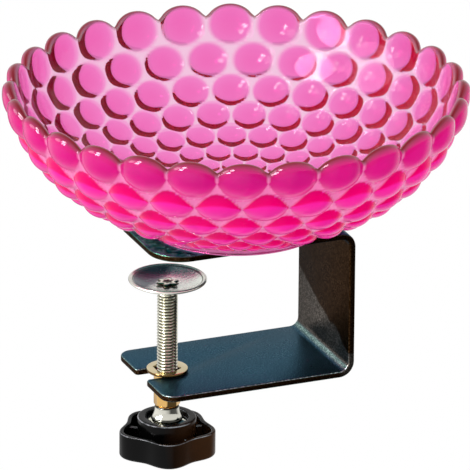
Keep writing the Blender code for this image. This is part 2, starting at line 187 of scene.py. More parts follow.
def shapedMesh(thing):  # its mesh with all modifiers applied
    graph = bpy.context.evaluated_depsgraph_get()
    seen = thing.evaluated_get(graph)
    return bpy.data.meshes.new_from_object(seen, preserve_all_data_layers=True, depsgraph=graph)


def runTree(name, mesh, tree, values):  # returns the plain mesh that the tree makes
    blank = newObject(name + "Blank", mesh)
    modifier = blank.modifiers.new(tree.name, "NODES")
    modifier.node_group = tree
    for item in tree.interface.items_tree:
        if item.item_type == "SOCKET" and item.in_out == "INPUT" and item.name in values:
            modifier[item.identifier] = values[item.name]
    made = shapedMesh(blank)
    blank.modifiers.clear()
    bpy.data.objects.remove(blank, do_unlink=True)
    made.name = name
    return made


def namedValue(tree, label, kind="FLOAT"):
    node = tree.nodes.new("GeometryNodeInputNamedAttribute")
    node.data_type = kind
    node.inputs["Name"].default_value = label
    return Number(tree, [s for s in node.outputs if s.enabled and s.name == "Attribute"][0])


def storeNumber(geometry, label, value):
    store = value.tree.nodes.new("GeometryNodeStoreNamedAttribute")
    store.data_type = "FLOAT"
    store.domain = "POINT"
    store.inputs["Name"].default_value = label
    link(geometry, store.inputs["Geometry"])
    link(value, [s for s in store.inputs if s.name == "Value" and s.enabled][0])
    return store.outputs[0]


# Small tools for meshes
def meshFrom(name, points, faces):
    mesh = bpy.data.meshes.new(name)
    mesh.from_pydata([tuple(p) for p in points], [], faces)
    mesh.update()
    return mesh


def ringFaces(rows, columns, closed):  # quads between rows of equal count; rows run round the section
    faces = []
    for i in range(rows if closed else rows - 1):
        k = (i + 1) % rows
        for j in range(columns):
            n = (j + 1) % columns
            faces.append((i * columns + j, i * columns + n, k * columns + n, k * columns + j))
    return faces


def roundTable(profile, sides, closed=True):  # points and faces of a turned form; a radius may be a function
    angles = np.linspace(0, math.tau, sides, endpoint=False)
    points = []
    for radius, height in profile:
        reach = radius(angles) if callable(radius) else np.full(sides, radius)
        points.append(np.stack([reach * np.cos(angles), reach * np.sin(angles), np.full(sides, height)], 1))
    faces = ringFaces(len(profile), sides, closed)
    if not closed:
        faces.append(tuple(range(sides)))
        faces.append(tuple((len(profile) - 1) * sides + i for i in reversed(range(sides))))
    return np.concatenate(points), faces


def gon(acrossFlats, corners, softness=0.0):  # radius of a polygon at each angle, its corners cut round
    step = math.tau / corners

    def radius(angles):
        reach = acrossFlats / 2 / np.cos((angles + step / 2) % step - step / 2)
        return np.minimum(reach, acrossFlats / 2 / math.cos(step / 2) - softness)

    return radius


def arc(middle, radius, start, end, steps):  # points (r, z) of an arc in a section, in degrees
    turns = np.radians(np.linspace(start, end, steps + 1))
    return [(middle[0] + radius * math.cos(a), middle[1] + radius * math.sin(a)) for a in turns]


def turnFacesOut(mesh):
    shape = bmesh.new()
    shape.from_mesh(mesh)
    bmesh.ops.remove_doubles(shape, verts=shape.verts, dist=1e-7)
    bmesh.ops.recalc_face_normals(shape, faces=shape.faces)
    shape.to_mesh(mesh)
    shape.free()


def finishPiece(name, mesh, finish, body, node, slot, smooth=40):
    turnFacesOut(mesh)
    mesh.materials.clear()
    mesh.materials.append(finish)
    mesh.polygons.foreach_set("material_index", [0] * len(mesh.polygons))
    mesh.shade_smooth()
    mesh.set_sharp_from_angle(angle=math.radians(smooth))
    piece = newObject(name, mesh)
    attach(piece, body)
    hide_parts(node)
    return piece


def joined(parts):  # one table of points and faces out of several closed forms
    points = []
    faces = []
    count = 0
    for some, more in parts:
        points.append(np.asarray(some))
        faces += [tuple(i + count for i in face) for face in more]
        count += len(some)
    return np.concatenate(points), faces


def placedPiece(name, part, x, *labels, smooth=40):  # a turned form on an upright axis at x
    mesh = meshFrom(name, np.asarray(part[0]) + np.array((x, 0, 0)), part[1])
    return finishPiece(name, mesh, *labels, smooth=smooth)


# Pink bowl: clear wall, smooth inside, rows of domes outside, scalloped rim
bowlSizes = {
    "seat": 2.8 * mm,  # jaw's top face and the gap over it
    "underside": 4.6 * mm,
    "wall": 2.8 * mm,
    "flatRadius": 13.5 * mm,
    "radius": 86.3 * mm,
    "curveHeight": 64 * mm,
    "tips": 59.9 * mm,
    "around": 28,
    "firstAngle": math.radians(4.9),
    "rowSpacing": 0.74,
    "domeHeight": 0.178,
    "domeReach": 0.482,
    "domeSquash": 1.13,  # a dome is wider than it is tall
    "fillet": 0.03,
    "rimStretch": 0.8,  # a rim dome falls less towards the rim
    "rimRise": 8.3 * mm,
    "rimHalfWidth": 1.05,
    "rimRound": 1.6 * mm,
    "valleyRound": 4.5 * mm,
    "footRadius": 35 * mm,
    "footThickness": 3 * mm,
    "footFlare": 0.8 * mm,
    "hole": 2.8 * mm,
    "columns": 16,  # for each dome
    "rings": 12,  # for each row of domes
    "innerRings": 62,
    "lowestRow": 7.5,
}
hobnailInputs = ("domeHeight", "domeReach", "fillet", "rowSpacing", "lowestRow", "rimStretch", "domeSquash")
seamSizes = {"round": 0.94, "depth": 0.575, "rim": 0.8}  # the lens that each dome is seen as


def bowlBlank(b):
    half = b["wall"] / 2
    angles = np.linspace(0, math.tau, b["around"] * b["columns"], endpoint=False)
    curve = np.linspace(0, math.pi / 2, 3000)
    curveR = b["flatRadius"] + (b["radius"] - b["flatRadius"]) * np.sin(curve)
    curveZ = b["underside"] + half + b["curveHeight"] * (1 - np.cos(curve))
    curveS = b["flatRadius"] + np.concatenate([[0], np.cumsum(np.hypot(np.diff(curveR), np.diff(curveZ)))])
    rimS = float(np.interp(b["tips"], curveZ, curveS))
    pitch = math.tau / b["around"] * curveR
    step = np.diff(curveS) / (b["rowSpacing"] * (pitch[1:] + pitch[:-1]) / 2)
    rowCount = np.concatenate([[0], np.cumsum(step)])
    rowCount = float(np.interp(rimS - b["rimRise"], curveS, rowCount)) - rowCount  # 0 on the rim row
    share = (angles * b["around"] / math.tau + 0.5) % 1 - 0.5
    scallops = []
    for sideways in (np.abs(share), 1 - np.abs(share)):
        reach = np.minimum(sideways / (b["rimHalfWidth"] / 2), 1)
        scallops.append(rimS - b["rimRise"] * (1 - np.sqrt(1 - reach**2)))
    blend = np.maximum(1 - np.abs(scallops[0] - scallops[1]) / b["valleyRound"], 0)
    tip = np.maximum(*scallops) + blend**2 * b["valleyRound"] / 4  # the valleys are rounded
    rows = []

    def add(distance, offset, dome, lip=0.0, inner=0.0):  # one ring on the curved wall
        distance = np.broadcast_to(distance, angles.shape)
        turnAt = np.interp(distance, curveS, curve)
        run = (b["radius"] - b["flatRadius"]) * np.cos(turnAt)
        climb = b["curveHeight"] * np.sin(turnAt)
        length = np.hypot(run, climb)
        normal = np.stack([climb / length, -run / length])
        r = np.interp(distance, curveS, curveR) + offset * normal[0]
        z = np.interp(distance, curveS, curveZ) + offset * normal[1]
        place = np.interp(distance, curveS, rowCount)
        rows.append((r, z, normal, place, np.interp(distance, curveS, pitch), dome, lip, inner))

    def plain(r, z):  # one ring off the curved wall
        flat = np.zeros_like(angles)
        rows.append((flat + r, flat + z, np.stack([flat, flat - 1]), flat - 9, flat + 1 * mm, 0.0, 0.0, 0.0))

    inner = b["footRadius"] - b["footThickness"]
    for r, z in ((0.0, 0.3), (0.3, 0.0)):
        plain(b["hole"] + r * mm, b["underside"] + z * mm)
    for r in (12 * mm, 22 * mm, inner - b["footFlare"] - 1.2 * mm):
        plain(r, b["underside"])
    foot = arc((inner - b["footFlare"] - 1 * mm, b["underside"] - 0.6 * mm), 0.6 * mm, 90, 20, 4)
    foot += arc((inner + 0.9 * mm, b["seat"] + 0.8 * mm), 0.8 * mm, 200, 270, 4)
    foot += arc((b["footRadius"] - 0.9 * mm, b["seat"] + 0.9 * mm), 0.9 * mm, 270, 355, 5)
    for r, z in foot:
        plain(r, z)
    plain(b["footRadius"] + 0.1 * mm, b["seat"] + 2.6 * mm)
    footS = float(np.interp(b["footRadius"] + 1.9 * mm, curveR, curveS))
    rimStart = rimS - b["rimRise"]
    low = float(np.interp(footS, curveS, rowCount))
    count = int(round(low * b["rings"]))
    backwards = rowCount[::-1]
    for i in range(count):
        add(float(np.interp(low * (1 - i / count), backwards, curveS[::-1])), half, 1.0)
    bend = b["rimRound"]
    for i in range(9):
        add(rimStart + (tip - bend - rimStart) * i / 9, half, 1.0)
    for i in range(9):
        turnAt = math.pi * i / 8
        side = (1 + math.cos(turnAt)) / 2
        add(tip - bend + bend * math.sin(turnAt), half * math.cos(turnAt), side, lip=math.sin(turnAt))
    for i in range(1, 5):
        add(tip - bend + (rimStart - tip + bend) * i / 4, -half, 0.0, inner=1.0)
    for i in range(1, b["innerRings"] + 1):
        add(rimStart + (b["flatRadius"] - rimStart) * i / b["innerRings"], -half, 0.0, inner=1.0)
    floor = b["underside"] + b["wall"]
    plain(8 * mm, floor)
    plain(b["hole"] + 0.3 * mm, floor)
    plain(b["hole"], floor - 0.3 * mm)

    turned = angles + b["firstAngle"]
    turns = (np.cos(turned), np.sin(turned))
    points = np.concatenate([np.stack([r * turns[0], r * turns[1], z], 1) for r, z, *_ in rows])
    normals = [np.stack([row[2][0] * turns[0], row[2][0] * turns[1], row[2][1]], 1) for row in rows]
    normals = np.concatenate(normals)
    mesh = meshFrom("bowlBlank", points, ringFaces(len(rows), len(angles), True))
    values = {"columnPlace": np.tile(angles * b["around"] / math.tau, len(rows))}
    for column, label in enumerate(("rowPlace", "pitch", "domeShare", "lip", "innerWall"), 3):
        values[label] = np.concatenate([np.zeros_like(angles) + row[column] for row in rows])
    for label, numbers in values.items():
        mesh.attributes.new(label, "FLOAT", "POINT").data.foreach_set("value", numbers.astype(np.float32))
    outward = mesh.attributes.new("outward", "FLOAT_VECTOR", "POINT")
    outward.data.foreach_set("vector", normals.astype(np.float32).ravel())
    return mesh


def hobnailTree():  # lifts a dome at each place of a staggered lattice
    tree, source, inputs = newTree("hobnails", hobnailInputs)
    height, reach, fillet, spacing, lowest, stretch, squash = inputs
    row = namedValue(tree, "rowPlace")
    column = namedValue(tree, "columnPlace")
    ball = (reach * reach + height * height) / (height * 2.0)
    sunk = ball - height
    domes = []
    places = []
    offsets = []
    for k in (0.0, 1.0):
        here = calc(tree, "FLOOR", row) + k
        across = column - calc(tree, "FLOORED_MODULO", here, 2.0) * 0.5
        across = across - calc(tree, "ROUND", across)
        along = (row - here) * spacing
        above = calc(tree, "LESS_THAN", here, 0.5) * calc(tree, "LESS_THAN", along, 0.0)
        along = along * (1.0 - above * (1.0 - stretch)) * squash
        rest = ball * ball - (across * across + along * along)
        dome = calc(tree, "SQRT", calc(tree, "MAXIMUM", rest, 0.0)) - sunk
        real = calc(tree, "LESS_THAN", here, lowest) * calc(tree, "GREATER_THAN", here, -0.5)
        domes.append(dome * real + (real - 1.0))
        places.append(along / reach)
        offsets.append(across)
    lower = calc(tree, "GREATER_THAN", domes[1], domes[0])
    below = places[0] + lower * (places[1] - places[0])  # -1 at a dome's upper edge, 1 at its lower edge
    beside = (offsets[0] + lower * (offsets[1] - offsets[0])) / reach
    side = beside * reach * 2.0  # 1 half way to the next dome
    lens = (1.0 - side * side * seamSizes["round"]) * seamSizes["depth"]
    depth = below * reach
    fall = depth / lens  # -1 on the upper seam, 1 on the lower one
    onRim = calc(tree, "LESS_THAN", calc(tree, "FLOOR", row) + lower, 0.5)
    onRim = onRim * calc(tree, "LESS_THAN", below, 0.0)
    upright = (1.0 - abs(side)) * seamSizes["rim"]
    seam = calc(tree, "MAXIMUM", lens - abs(depth), onRim * upright)  # 0 in the seams between domes
    tallest = calc(tree, "SMOOTH_MAX", domes[0], domes[1], fillet)
    swell = calc(tree, "SMOOTH_MAX", tallest, 0.0, fillet)
    lift = swell * namedValue(tree, "pitch") * namedValue(tree, "domeShare")
    stored = {"domeMask": swell / height, "domeSide": below, "domeBeside": beside}
    stored.update({"domeSeam": seam, "domeFall": fall})
    geometry = source.outputs["Geometry"]
    for label, value in stored.items():
        geometry = storeNumber(geometry, label, value)
    move = tree.nodes.new("GeometryNodeSetPosition")
    link(geometry, move.inputs["Geometry"])
    link(scaledBy(namedValue(tree, "outward", "FLOAT_VECTOR"), lift), move.inputs["Offset"])
    endTree(tree, source, move.outputs[0])
    return tree


def attributeOn(tree, label):
    node = tree.nodes.new("ShaderNodeAttribute")
    node.attribute_name = label
    return Number(tree, node.outputs["Fac"])


def vectorCalc(tree, operation, *values):
    node = tree.nodes.new("ShaderNodeVectorMath")
    node.operation = operation
    for socket, value in zip(node.inputs, values):
        if isinstance(value, tuple):
            socket.default_value = value
        else:
            link(value, socket)
    return node.outputs[0]


def scaledBy(vector, share):
    node = share.tree.nodes.new("ShaderNodeVectorMath")
    node.operation = "SCALE"
    link(vector, node.inputs[0])
    link(share, node.inputs["Scale"])
    return node.outputs[0]


def dimpleNormal(tree, curve):  # gloss inside follows a dimple behind each dome
    wall = tree.nodes.new("ShaderNodeNewGeometry").outputs["Normal"]
    sideways = vectorCalc(tree, "NORMALIZE", vectorCalc(tree, "CROSS_PRODUCT", wall, (0, 0, 1)))
    upwards = vectorCalc(tree, "CROSS_PRODUCT", sideways, wall)
    inDome = attributeOn(tree, "domeMask").spread(0.0, 0.25, 0.0, curve) * attributeOn(tree, "innerWall")
    across = attributeOn(tree, "domeBeside") * inDome * -1.0
    along = attributeOn(tree, "domeSide") * inDome
    tilt = vectorCalc(tree, "ADD", scaledBy(sideways, across), scaledBy(upwards, along))
    return vectorCalc(tree, "NORMALIZE", vectorCalc(tree, "ADD", wall, tilt))


pinkLooks = {
    "web": (0.99, 0.90, 0.95),  # between the domes, seen from inside
    "disc": (0.99, 0.40, 0.77),
    "seam": (1.0, 0.24, 0.55),  # between the domes, seen from outside
    "rimDome": (0.70, 0.006, 0.22),
    "lip": (0.20, 0.0, 0.006),
    # painted shade of the crescent behind each dome
    "crescentShade": (0.50, 0.0, 0.03),
    "clearOutside": 0.16,
    "clearLip": 0.15,
    "glassIndex": 1.47,
    "innerCoat": 0.25,
    "shoulderCoat": 0.6,
    "dimple": 0.7,
    "absorbed": (0.93, 0.0, 0.57, 1),
    "density": 150,
    "glow": (  # painted shade and light on each dome seen from outside: crimson shade at the upper edge, paler light at the lower edge
        (0.0, (0.80, 0.0, 0.13)),
        (0.23, (0.92, 0.0, 0.17)),
        (0.29, (1.0, 0.015, 0.38)),
        (0.58, (0.94, 0.045, 0.38)),
        (0.76, (0.87, 0.09, 0.36)),
        (1.0, (1.0, 0.22, 0.54)),
    ),
}


def pinkFinish(p):
    finish, tree, shader = newFinish(
        "clearPink", Roughness=0.04, IOR=p["glassIndex"], Specular_Tint=(0.35, 0.14, 0.26), Coat_Roughness=0.09
    )
    row = attributeOn(tree, "rowPlace")
    onDomes = attributeOn(tree, "domeShare")
    inside = Number(tree, tree.nodes.new("ShaderNodeNewGeometry").outputs["Backfacing"])
    disc = attributeOn(tree, "domeMask") * row.spread(1.0, 4.0, 1.0, 3.0)  # wider low down
    fromInside = mixColours(disc.spread(0.03, 0.42), p["web"], p["disc"])
    # painted light and shade: each dome is darker crimson at its upper edge and lighter at its lower edge
    paintedDomeShading = rampOn(attributeOn(tree, "domeFall").spread(-1.0, 1.0), p["glow"])
    cell = mixColours(row.spread(0.0, 0.55, 0.85, 0.0), paintedDomeShading, p["rimDome"])
    fromOutside = mixColours(attributeOn(tree, "domeSeam").spread(0.01, 0.08), p["seam"], cell)
    milky = onDomes * (1.0 - inside)
    lip = calc(tree, "POWER", attributeOn(tree, "lip"), 1.2)
    colour = mixColours(lip, mixColours(milky, fromInside, fromOutside), p["lip"])
    bent = tree.nodes.new("ShaderNodeFresnel")
    bent.inputs["IOR"].default_value = p["glassIndex"]
    trapped = Number(tree, bent.outputs[0]) * inside  # painted shade: a dark crescent behind each dome, where the light is totally reflected inside the glass
    trapped = trapped.spread(0.6, 1.0, 0.0, 0.94) * onDomes
    link(mixColours(trapped, colour, p["crescentShade"]), shader.inputs["Base Color"])
    clear = milky.spread(0.0, 1.0, 1.0, p["clearOutside"]) * lip.spread(0.0, 1.0, 1.0, p["clearLip"])
    link(clear * (1.0 - trapped), shader.inputs["Transmission Weight"])
    shoulder = row.spread(-0.12, -0.40) * milky * p["shoulderCoat"]
    coated = calc(tree, "MAXIMUM", attributeOn(tree, "innerWall") * p["innerCoat"], shoulder)
    link(coated, shader.inputs["Coat Weight"])
    link(dimpleNormal(tree, p["dimple"]), shader.inputs["Coat Normal"])
    absorb = tree.nodes.new("ShaderNodeVolumeAbsorption")
    absorb.inputs["Color"].default_value = p["absorbed"]
    absorb.inputs["Density"].default_value = p["density"]
    link(absorb.outputs[0], tree.nodes["Material Output"].inputs["Volume"])
    return finish


def buildBowl(b):
    values = {label: b[label] for label in hobnailInputs}
    values["Finish"] = pinkFinish(pinkLooks)
    mesh = runTree("hobnailBowl", bowlBlank(b), hobnailTree(), values)
    for label in ("pitch", "columnPlace", "outward"):
        mesh.attributes.remove(mesh.attributes[label])
    return finishPiece("hobnailBowl", mesh, values["Finish"], "frame", "bowl", "pink_bowl", smooth=75)


bowlPiece = buildBowl(bowlSizes)
print("bowl made:", len(bowlPiece.data.polygons), "faces")


# Strip clamp, cut flat and bent, black powder coat
stripSizes = {
    "width": 50 * mm,
    "thickness": 2.5 * mm,
    "bendRadius": 3.5 * mm,
    "bendSteps": 20,
    "throat": 54 * mm,
    "backReach": 36.8 * mm,
    "jawReach": 40.6 * mm,
    "armMouth": -38.4 * mm,
    "jawCorner": 13 * mm,
    "fingerCorner": 5.5 * mm,
    "lipCorner": 1.6 * mm,
    "slotWidth": 10.2 * mm,
    "slotEnd": 11.4 * mm,  # from the arm's mouth edge to the middle of the slot's round end
    "edgeRound": 0.6 * mm,
    "headRadius": 4.9 * mm,
    "holeRadius": 2.8 * mm,
}


coatLooks = {  # dark and bright grains of the powder, in painted reflection tints: teal on faces that look up, brown on upright faces
    "brownReflection": ((0.016, 0.005, 0.000), (0.080, 0.044, 0.022)),
    "tealReflection": ((0.018, 0.068, 0.110), (0.110, 0.240, 0.320)),
    "jaw": ((0.0, 0.26, 0.17), (0.20, 0.66, 0.50)),
    # grains in the painted lit patch low on the back strip
    "pale": ((0.065, 0.055, 0.046), (0.32, 0.28, 0.25)),
    # grains of the painted highlight along the inner bend
    "bendHighlight": ((0.10, 0.18, 0.17), (0.62, 0.85, 0.80)),
    "lumps": 14.0,
}


def coatFinish(c):
    finish, tree, shader = newFinish(
        "powderCoat", Roughness=0.34, Specular_Tint=(0.55, 0.55, 0.55), Metallic=1.0
    )
    grain = noiseOn(tree, 2000, 2.0)
    drift = noiseOn(tree, 60, 3.0)
    lump = noiseOn(tree, 330, 1.5)
    speck = grain.spread(0.45, 0.70)
    brownReflection, tealReflection, pale, bendHighlight = (mixColours(speck, *c[key]) for key in ("brownReflection", "tealReflection", "pale", "bendHighlight"))
    x, y, z = objectPlace(tree)
    upright = abs(facing(tree)[2])
    # on the jaw the painted teal reflection is mottled along the paint's lumps
    onJaw = x.spread(-0.020, -0.030) * z.spread(-0.004, -0.001)
    tealReflection = mixColours(onJaw, tealReflection, mixColours(lump.spread(0.35, 0.7), *c["jaw"]))
    litPatch = y * 0.35 - z + drift * 0.012  # painted light: a lit patch low on the back strip, with painted shadow above its curved edge
    litPatch = litPatch.spread(0.043, 0.0442) * x.spread(0.033, 0.036)
    # painted highlight along the inner bend of the strip
    bend = abs(upright - 0.68).spread(0.25, 0.05) * z.spread(-0.030, -0.045)
    # painted reflections: teal on faces that look up, brown on upright faces, with the painted lit patch
    colour = mixColours(upright.spread(0.3, 0.95), mixColours(litPatch, brownReflection, pale), tealReflection)
    link(mixColours(bend, colour, bendHighlight), shader.inputs["Base Color"])
    link(drift.spread(0.3, 0.7, 0.24, 0.36), shader.inputs["Roughness"])
    bumpFrom(shader, grain + lump * (onJaw * c["lumps"]), 0.5, 0.0001)
    return finish


def stripRuns(c):  # flat length of the jaw and of a bend, and where the second bend starts
    bendLength = math.pi / 2 * (c["bendRadius"] + c["thickness"] / 2)
    jawFlat = c["jawReach"] + c["backReach"] - c["bendRadius"]
    return jawFlat, bendLength, jawFlat + bendLength + (c["throat"] - 2 * c["bendRadius"])


def bentPlace(c, u, side, height):
    jawFlat, bendLength, secondStart = stripRuns(c)
    cornerX = c["backReach"] - c["bendRadius"]
    reach = c["bendRadius"] + height
    if u <= jawFlat:
        return (u - c["jawReach"], side, height)
    if u < jawFlat + bendLength:
        a = (u - jawFlat) / bendLength * math.pi / 2
        return (cornerX + reach * math.sin(a), side, reach * math.cos(a) - c["bendRadius"])
    if u <= secondStart:
        return (c["backReach"] + height, side, -c["bendRadius"] - (u - jawFlat - bendLength))
    if u < secondStart + bendLength:
        a = (u - secondStart) / bendLength * math.pi / 2
        drop = c["bendRadius"] - c["throat"] - reach * math.sin(a)
        return (cornerX + reach * math.cos(a), side, drop)
    return (cornerX - (u - secondStart - bendLength), side, -c["throat"] - height)


def buildStrip(c, finish):
    jawFlat, bendLength, secondStart = stripRuns(c)
    end = secondStart + bendLength + (c["backReach"] - c["bendRadius"] - c["armMouth"])
    half = c["width"] / 2
    slot = c["slotWidth"] / 2
    jaw, finger, lip = c["jawCorner"], c["fingerCorner"], c["lipCorner"]
    outline = arc((jaw, -half + jaw), jaw, 180, 270, 16)
    outline += arc((end - finger, -half + finger), finger, 270, 360, 10)
    outline += arc((end - lip, -slot - lip), lip, 0, 90, 6)
    outline += arc((end - c["slotEnd"], 0), slot, 270, 90, 24)
    outline += arc((end - lip, slot + lip), lip, 270, 360, 6)
    outline += arc((end - finger, half - finger), finger, 0, 90, 10)
    outline += arc((jaw, half - jaw), jaw, 90, 180, 16)
    shape = bmesh.new()
    shape.faces.new([shape.verts.new((u, side, 0)) for u, side in outline])
    for start in (jawFlat, secondStart):
        for i in range(c["bendSteps"] + 1):
            cut = Vector((start + bendLength * i / c["bendSteps"], 0, 0))
            bmesh.ops.bisect_plane(
                shape, geom=[*shape.verts, *shape.edges, *shape.faces], plane_co=cut, plane_no=(1, 0, 0)
            )
    raised = bmesh.ops.extrude_face_region(shape, geom=list(shape.faces), use_keep_orig=True)
    for vert in raised["geom"]:
        if isinstance(vert, bmesh.types.BMVert):
            vert.co.z = c["thickness"]
    for vert in shape.verts:
        vert.co = bentPlace(c, *vert.co)
    bmesh.ops.recalc_face_normals(shape, faces=shape.faces)
    mesh = bpy.data.meshes.new("stripClampBlank")
    shape.to_mesh(mesh)
    shape.free()
    blank = newObject("stripClampBlank", mesh)
    profile = [(c["headRadius"], -3 * mm), (c["headRadius"], 0.6 * mm)]
    profile += [(c["holeRadius"], 2.7 * mm), (c["holeRadius"], 6 * mm)]
    sinkMesh = meshFrom("sinkCutter", *roundTable(profile, 64, closed=False))
    turnFacesOut(sinkMesh)
    sink = newObject("sinkCutter", sinkMesh)
    rounding = blank.modifiers.new("edges", "BEVEL")
    rounding.width = c["edgeRound"]
    rounding.segments = 3
    rounding.limit_method = "ANGLE"
    rounding.angle_limit = math.radians(50)
    hole = blank.modifiers.new("hole", "BOOLEAN")
    hole.operation = "DIFFERENCE"
    hole.solver = "EXACT"
    hole.object = sink
    made = shapedMesh(blank)
    for thing in (blank, sink):
        bpy.data.objects.remove(thing, do_unlink=True)
    return finishPiece("stripClamp", made, finish, "frame", "clamp_bracket", "powder_coat", smooth=32)


buildStrip(stripSizes, coatFinish(coatLooks))
print("strip clamp bent")


# Clamping screw, with a real thread
screwSizes = {
    "x": -27.6 * mm,
    "radius": 4 * mm,
    "pitch": 1.25 * mm,
    "threadDepth": 0.68 * mm,
    "threadTop": -21.7 * mm,
    "neckRadius": 2.5 * mm,
    "neckTop": -17.9 * mm,
    "tipRadius": 4.7 * mm,
    "tipSides": 72,
    "headTop": -73.8 * mm,
    "headHeight": 5.3 * mm,
    "headFlats": 13 * mm,
    "stepsPerTurn": 10,
}


def metalFinish(name, colour, roughness, scratch=0.06, scale=900, groove=None, bump=0.08, dent=0.00005):
    finish, tree, shader = newFinish(name, Metallic=1.0)
    fine = noiseOn(tree, scale, 3.0)
    wide = noiseOn(tree, 90, 2.0)
    scratched = (fine + wide).spread(0.7, 1.3, max(roughness - scratch, 0.03), roughness + scratch)
    link(scratched, shader.inputs["Roughness"])
    dull = tuple(part * 0.78 for part in colour)
    shade = mixColours(wide.spread(0.3, 0.7), dull, colour)
    if groove:  # painted shade low in the thread
        shade = mixColours(attributeOn(tree, "groove").spread(0.35, 0.95), shade, groove)
    link(shade, shader.inputs["Base Color"])
    bumpFrom(shader, fine, bump, dent)
    return finish


def reopened(finish):  # a metal's tree, shader and plain colour, to paint over
    tree = finish.node_tree
    shader = tree.nodes["Principled BSDF"]
    return tree, shader, shader.inputs["Base Color"].links[0].from_socket


def threadTree():  # cuts a thread into a plain rod: a ridge for each pitch along a helix
    tree, source, inputs = newTree("thread", ("Length", "Radius", "Pitch", "Depth"), ("Steps",))
    length, radius, pitch, depth = inputs
    rod = tree.nodes.new("GeometryNodeMeshCylinder")
    rod.inputs["Vertices"].default_value = 48
    rod.inputs["Fill Segments"].default_value = 1
    for label, value in (("Side Segments", source.outputs["Steps"]), ("Radius", radius), ("Depth", length)):
        link(value, rod.inputs[label])
    x, y, z = partsOf(tree, tree.nodes.new("GeometryNodeInputPosition").outputs[0])
    angle = calc(tree, "ARCTAN2", y, x) / math.tau
    phase = calc(tree, "FRACT", z / pitch - angle + 1000.0)
    groove = (abs(phase - 0.5) * 2.0).spread(0.12, 0.88)
    edge = length / 2.0 - abs(z)
    ending = calc(tree, "MINIMUM", edge / pitch, 1.0)
    cut = calc(tree, "MAXIMUM", groove, 1.0 - ending)
    ratio = 1.0 - cut * depth / radius
    merge = tree.nodes.new("ShaderNodeCombineXYZ")
    for socket, value in zip(merge.inputs, (x * ratio, y * ratio, z)):
        link(value, socket)
    move = tree.nodes.new("GeometryNodeSetPosition")
    # the groove share also carries the painted shade in the grooves
    link(storeNumber(rod.outputs["Mesh"], "groove", groove), move.inputs["Geometry"])
    link(merge.outputs[0], move.inputs["Position"])
    endTree(tree, source, move.outputs[0])
    return tree


def buildScrew(s, finish):
    bottom = s["headTop"] - 1 * mm
    length = s["threadTop"] - bottom
    values = {
        "Length": length,
        "Radius": s["radius"],
        "Pitch": s["pitch"],
        "Depth": s["threadDepth"],
        "Steps": int(length / s["pitch"] * s["stepsPerTurn"]),
        "Finish": finish,
    }
    rod = runTree("threadedRod", bpy.data.meshes.new("rodBlank"), threadTree(), values)
    points = np.empty(len(rod.vertices) * 3)
    rod.vertices.foreach_get("co", points)
    points = points.reshape(-1, 3) + (0, 0, (s["threadTop"] + bottom) / 2)
    thread = (points, [tuple(face.vertices) for face in rod.polygons])
    depths = np.empty(len(rod.vertices), np.float32)
    rod.attributes["groove"].data.foreach_get("value", depths)
    neck, top = s["neckRadius"], s["neckTop"]

    def petals(share):
        return lambda angles: s["tipRadius"] * share * (0.84 + 0.16 * np.cos(6 * angles))

    rings = ((0.94, 0.05), (1.0, 0.25), (0.92, 0.55), (0.62, 0.72), (0.35, 0.55), (0.12, 0.42))
    profile = [(neck, s["threadTop"] - 0.6 * mm), (neck, top + 0.05 * mm)]
    profile += [(petals(share), top + rise * mm) for share, rise in rings]
    tip = roundTable(profile, s["tipSides"], closed=False)
    flats = gon(s["headFlats"], 6, 0.25 * mm)
    low = s["headTop"] - s["headHeight"]
    profile = [(s["headFlats"] * 0.46, low), (flats, low + 0.5 * mm)]
    profile += [(flats, s["headTop"] - 0.3 * mm), (s["headFlats"] * 0.48, s["headTop"])]
    head = roundTable(profile, 96, closed=False)
    points, faces = joined([thread, tip, head])
    mesh = meshFrom("thumbScrew", points + np.array((s["x"], 0, 0)), faces)
    grooves = np.zeros(len(points), np.float32)
    grooves[: len(depths)] = depths
    for ring in (0, 1, 2, 3, 4, 6, 7):  # painted shade: the petals are dark round their bright tops
        first = len(depths) + s["tipSides"] * ring
        grooves[first : first + s["tipSides"]] = 1.0
    mesh.attributes.new("groove", "FLOAT", "POINT").data.foreach_set("value", grooves)
    return finishPiece("thumbScrew", mesh, finish, "screw", "clamp_screw", "zinc", smooth=50)


zinc = metalFinish("zincPlate", (0.86, 0.84, 0.79), 0.22, scale=1200)
# painted shade in the thread's grooves and round the petals
thread = metalFinish("zincThread", (0.93, 0.92, 0.78), 0.16, scale=1200, groove=(0.07, 0.06, 0.035))
buildScrew(screwSizes, thread)
print("screw threaded")


# Pressure pad, nut and collar
padSizes = {
    "rim": -15.6 * mm,
    "radius": 15 * mm,
    "depth": 3.8 * mm,
    "thickness": 1.2 * mm,
    "boss": 5 * mm,
    "hole": 2.8 * mm,
}


def padFinish(x, radius):  # zinc plate, peened inside the dish, with a painted dark reflection on one side of the dish
    finish = metalFinish("padZinc", (0.96, 0.95, 0.86), 0.22, scale=1100, bump=0.5, dent=0.0002)
    tree, shader, plain = reopened(finish)
    shader.inputs["Metallic"].default_value = 0.92
    outX, outY, _ = objectPlace(tree)
    outX = outX - x
    reach = calc(tree, "SQRT", outX * outX + outY * outY)
    leftward = outX * -0.66 + outY * 0.75 + noiseOn(tree, 420, 2.0) * 0.005
    upwards = facing(tree)[2].spread(0.1, 0.5)
    dish = reach.spread(radius - 1.4 * mm, radius - 2.2 * mm) * upwards
    # painted dark reflection on one side of the dish
    darkReflection = leftward.spread(4.5 * mm, 8.5 * mm, 0.0, 0.9) * dish
    line = abs(reach - (radius - 1.7 * mm)).spread(0.3 * mm, 0.1 * mm, 0.0, 0.85) * upwards
    colour = mixColours(darkReflection, mixColours(dish, plain, (0.96, 1.0, 0.92)), (0.05, 0.06, 0.10))
    link(mixColours(line, colour, (0.06, 0.05, 0.04)), shader.inputs["Base Color"])
    height = tree.nodes["Bump"].inputs["Height"]
    link(Number(tree, height.links[0].from_socket) * dish, height)
    return finish


